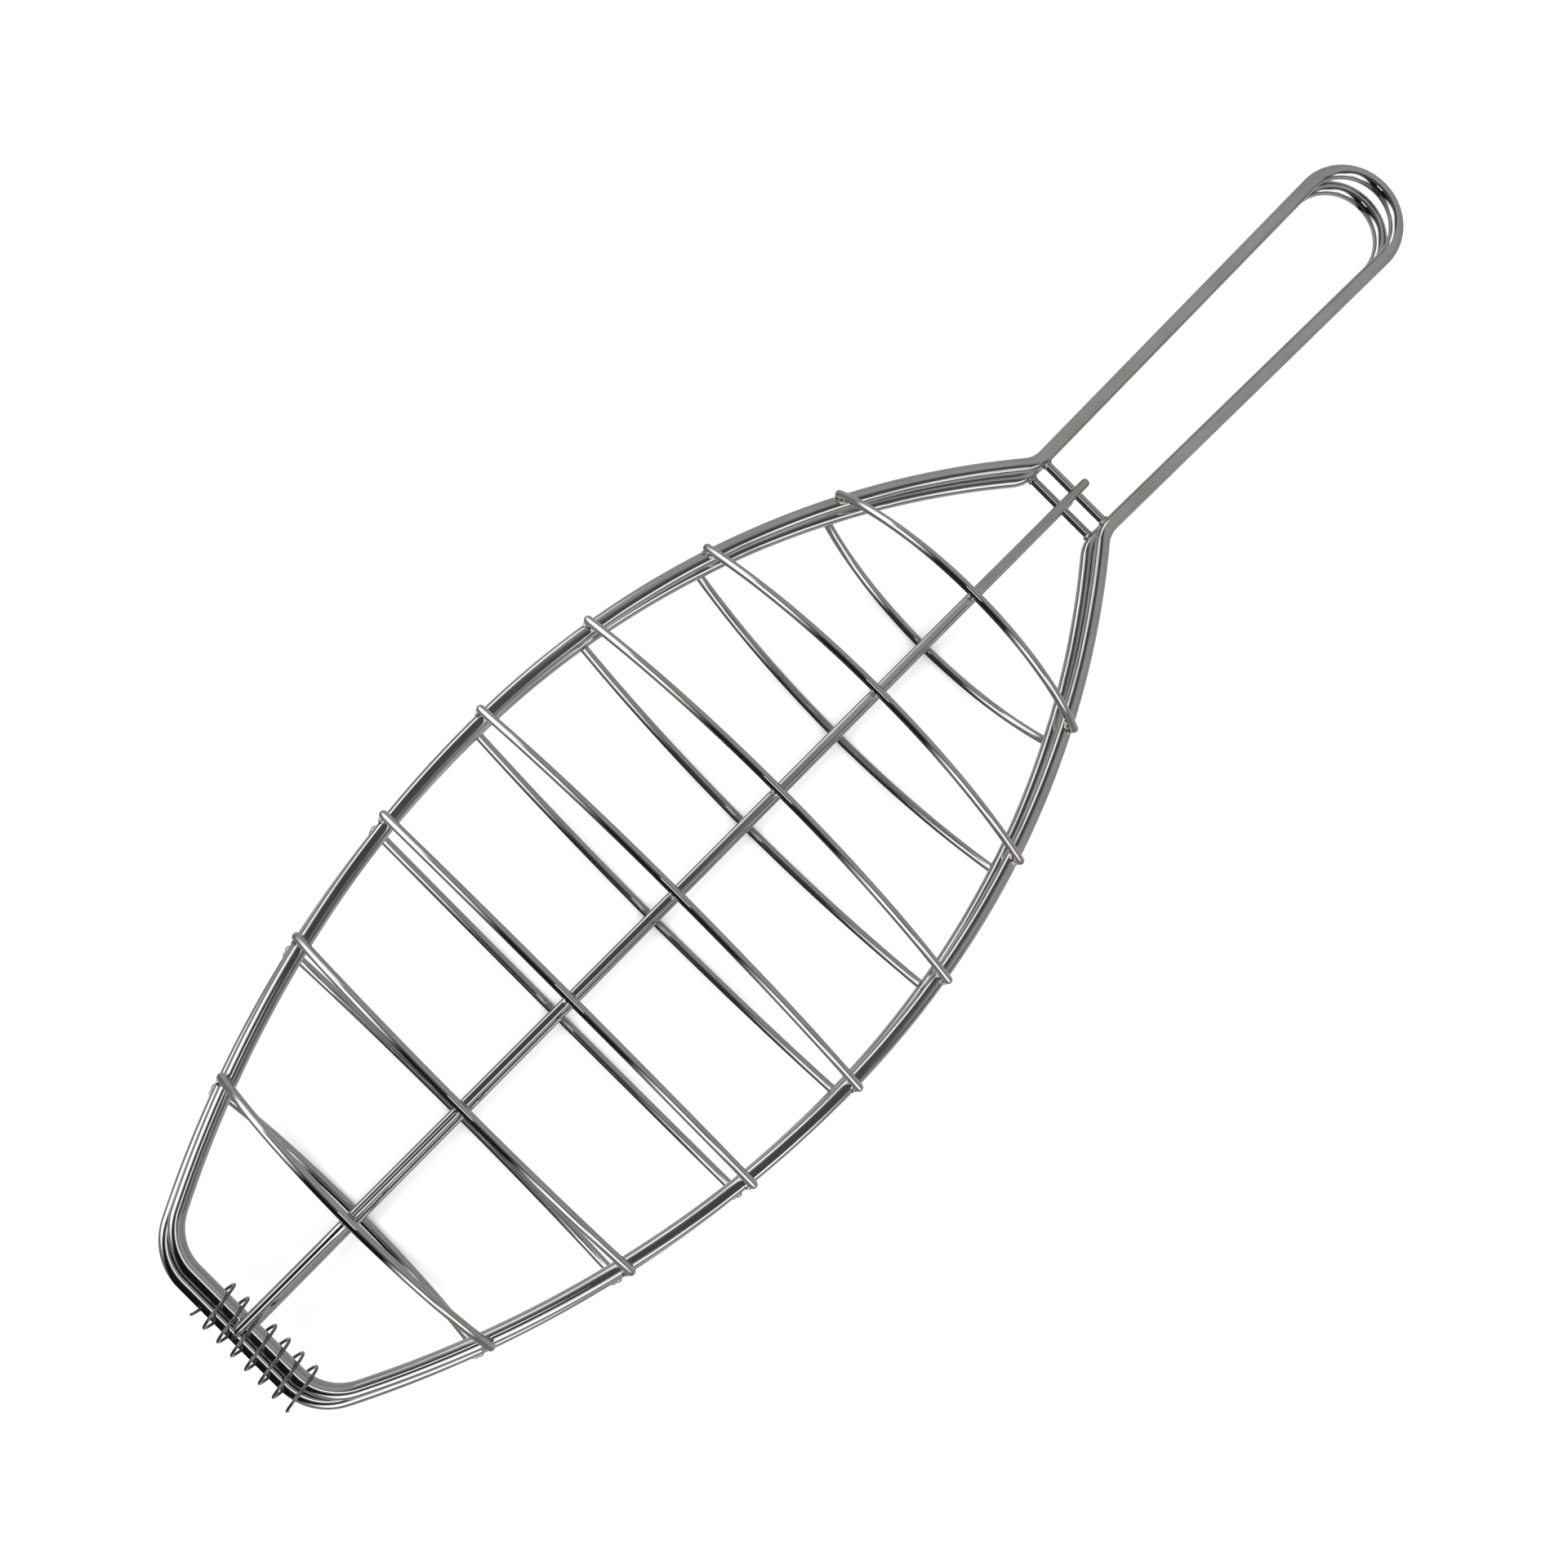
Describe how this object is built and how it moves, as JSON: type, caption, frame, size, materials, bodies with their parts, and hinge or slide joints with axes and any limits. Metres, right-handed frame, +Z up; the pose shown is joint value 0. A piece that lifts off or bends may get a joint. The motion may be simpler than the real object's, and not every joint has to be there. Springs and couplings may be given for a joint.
{
  "type": "hinged fish grilling basket",
  "caption": "Hinged grill basket of polished steel wire, shaped like a fish, with two long handle loops and a loose coil spring as its hinge.",
  "frame": {"origin": "bottom centre of the closed basket's box, on the plane it rests on", "axes": "+X from the hinge to the handle, +Y across the basket, +Z up through both halves"},
  "size_m": [0.6028, 0.192, 0.0706],
  "materials": {
    "frame_wire": "polished stainless steel",
    "rod_wire": "polished stainless steel",
    "rib_wire": "polished stainless steel",
    "spring_wire": "drawn spring wire, tinted by heat"
  },
  "bodies": {
    "lower_half": {"lower_frame": "frame_wire", "lower_neck_bar": "rib_wire", "lower_centre_rod": "rod_wire", "lower_rib_1": "rib_wire", "lower_rib_2": "rib_wire", "lower_rib_3": "rib_wire", "lower_rib_4": "rib_wire", "lower_rib_5": "rib_wire", "lower_rib_6": "rib_wire", "lower_rib_7": "rib_wire"},
    "spring_coil": {"hinge_spring": "spring_wire"},
    "upper_half": {"upper_frame": "frame_wire", "upper_neck_bar": "rib_wire", "upper_centre_rod": "rod_wire", "upper_rib_1": "rib_wire", "upper_rib_2": "rib_wire", "upper_rib_3": "rib_wire", "upper_rib_4": "rib_wire", "upper_rib_5": "rib_wire", "upper_rib_6": "rib_wire", "upper_rib_7": "rib_wire"}
  },
  "joints": [
    {"name": "spring_roll", "type": "hinge", "parent": "lower_half", "child": "spring_coil", "pos_m": [-0.29584, 0, 0.03235], "axis": [0, -1, 0], "range_deg": [0, 80]},
    {"name": "basket_opening", "type": "hinge", "parent": "spring_coil", "child": "upper_half", "pos_m": [-0.29024, 0, 0.03825], "axis": [0, -1, 0], "range_deg": [0, 80]}
  ]
}
